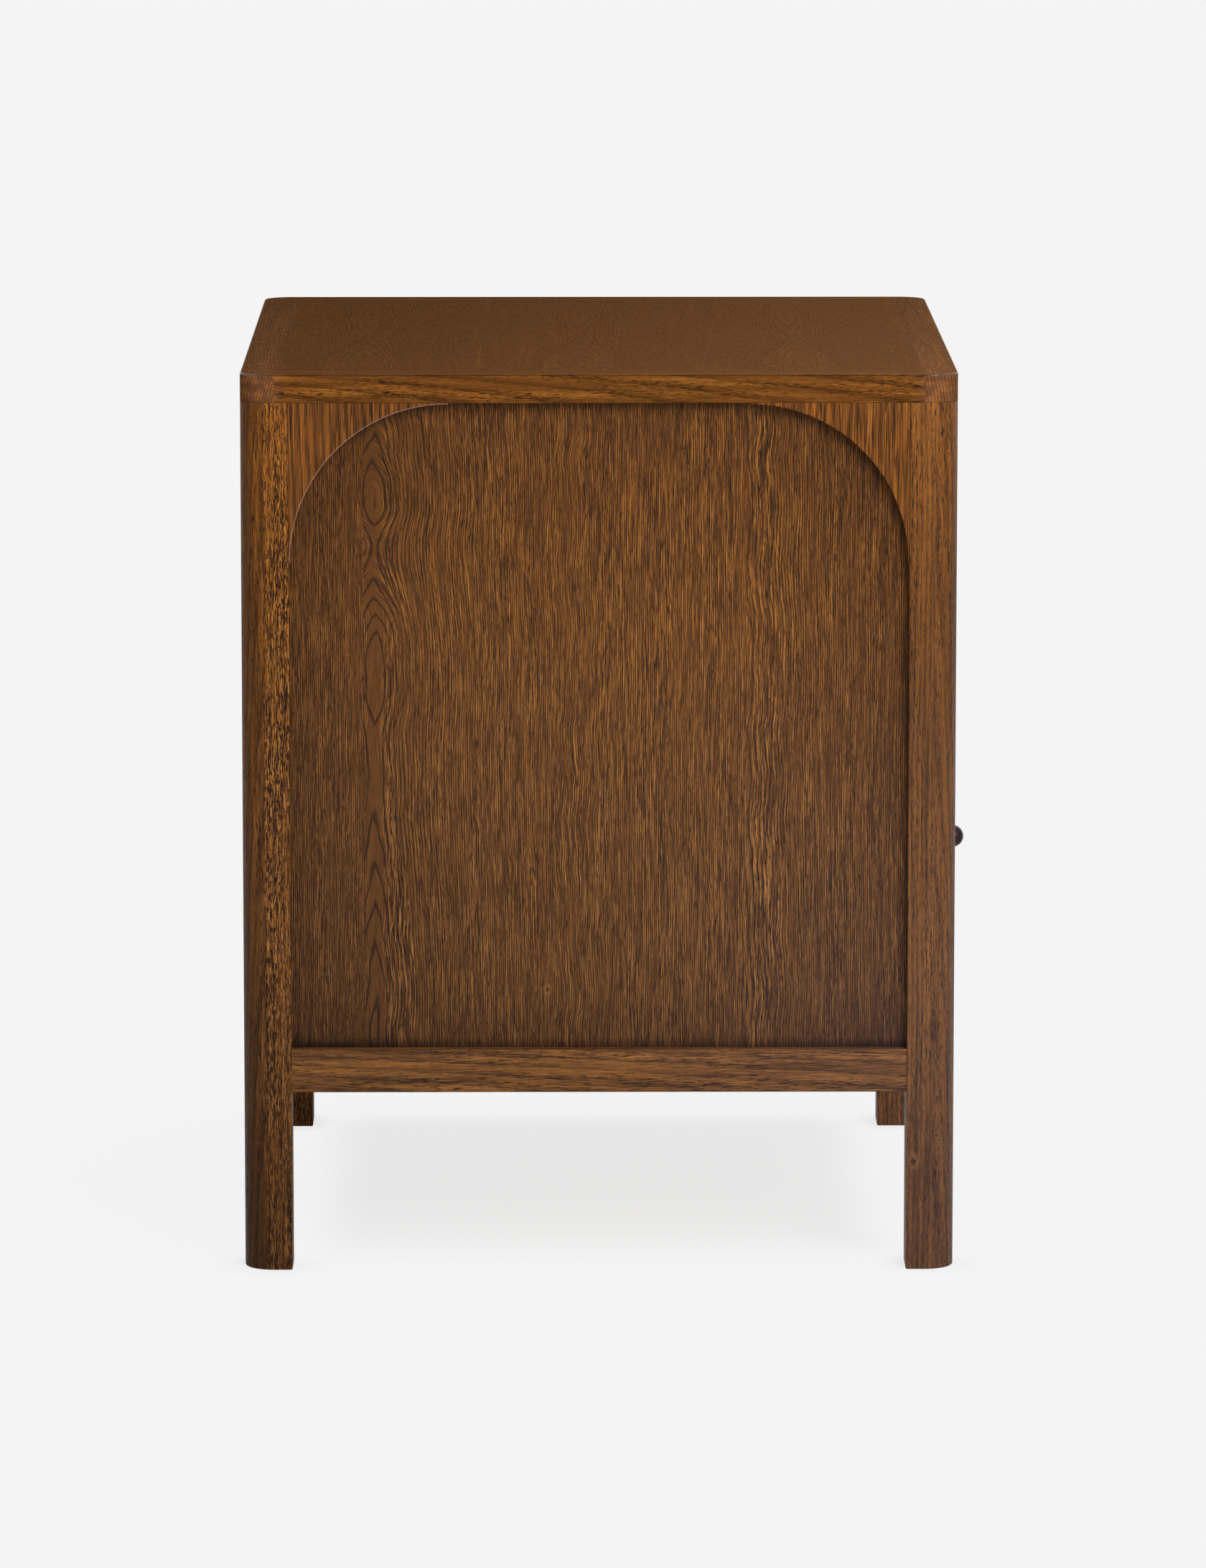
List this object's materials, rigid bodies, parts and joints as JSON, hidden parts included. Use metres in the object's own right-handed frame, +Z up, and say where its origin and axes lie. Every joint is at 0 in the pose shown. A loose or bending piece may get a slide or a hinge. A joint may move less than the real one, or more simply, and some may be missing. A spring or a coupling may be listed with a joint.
{
  "type": "nightstand",
  "caption": "Stained oak nightstand with rounded corner legs, arched recessed sides, an open arched cubby and a drawer with a small round knob on telescopic slides.",
  "frame": {"origin": "on the floor, below the middle of the whole nightstand's outline, knob included", "axes": "+Z up, the drawer and cubby face -Y, +X is to the right of someone who faces the front"},
  "size_m": [0.508, 0.474, 0.58],
  "materials": {
    "oak_solid": "walnut-brown stain, satin lacquer, open pores",
    "oak_veneer_board": "walnut-brown stained oak veneer, satin lacquer",
    "drawer_box_wood": "clear lacquered hardwood",
    "plywood": "clear lacquered plywood",
    "dowel_beech": "fluted, raw",
    "slide_steel": "zinc plated",
    "screw_steel": "zinc plated",
    "knob_metal": "dark bronzed, polished"
  },
  "bodies": {
    "case": {"top_board": "oak_veneer_board", "top_lipping_front": "oak_solid", "top_lipping_back": "oak_solid", "top_lipping_left": "oak_solid", "top_lipping_right": "oak_solid", "top_dowels": "dowel_beech", "leg_front_left": "oak_solid", "side_spandrel_front_left": "oak_solid", "leg_back_left": "oak_solid", "side_spandrel_back_left": "oak_solid", "side_panel_left": "oak_veneer_board", "front_spandrel_left": "oak_solid", "slide_cabinet_left": "slide_steel", "leg_front_right": "oak_solid", "side_spandrel_front_right": "oak_solid", "leg_back_right": "oak_solid", "side_spandrel_back_right": "oak_solid", "side_panel_right": "oak_veneer_board", "front_spandrel_right": "oak_solid", "slide_cabinet_right": "slide_steel", "rail_left": "oak_solid", "rail_right": "oak_solid", "rail_front": "oak_solid", "rail_back": "oak_solid", "case_bottom": "plywood", "case_bottom_screws": "screw_steel", "back_panel": "oak_veneer_board", "back_screws": "screw_steel", "shelf": "oak_veneer_board", "shelf_lipping": "oak_solid", "shelf_dowels": "dowel_beech", "spandrel_dowels": "dowel_beech", "slide_case_screws": "slide_steel"},
    "slide_middles": {"slide_middle_left": "slide_steel", "slide_middle_right": "slide_steel"},
    "drawer": {"drawer_face": "oak_veneer_board", "drawer_box_front": "drawer_box_wood", "drawer_box_back": "drawer_box_wood", "drawer_floor": "plywood", "drawer_face_screws": "screw_steel", "knob": "knob_metal", "knob_screw": "screw_steel", "slide_drawer_screws": "slide_steel", "drawer_side_left": "drawer_box_wood", "slide_drawer_left": "slide_steel", "drawer_side_right": "drawer_box_wood", "slide_drawer_right": "slide_steel"}
  },
  "joints": [
    {"name": "drawer_travel", "type": "slide", "parent": "case", "child": "drawer", "axis": [0, -1, 0], "range_m": [0, 0.35]},
    {"name": "slide_middle_travel", "type": "slide", "parent": "case", "child": "slide_middles", "axis": [0, -1, 0], "range_m": [0, 0.175]}
  ],
  "couplings": [
    {"joint": "slide_middle_travel", "follows": "drawer_travel", "ratio": 0.5}
  ]
}
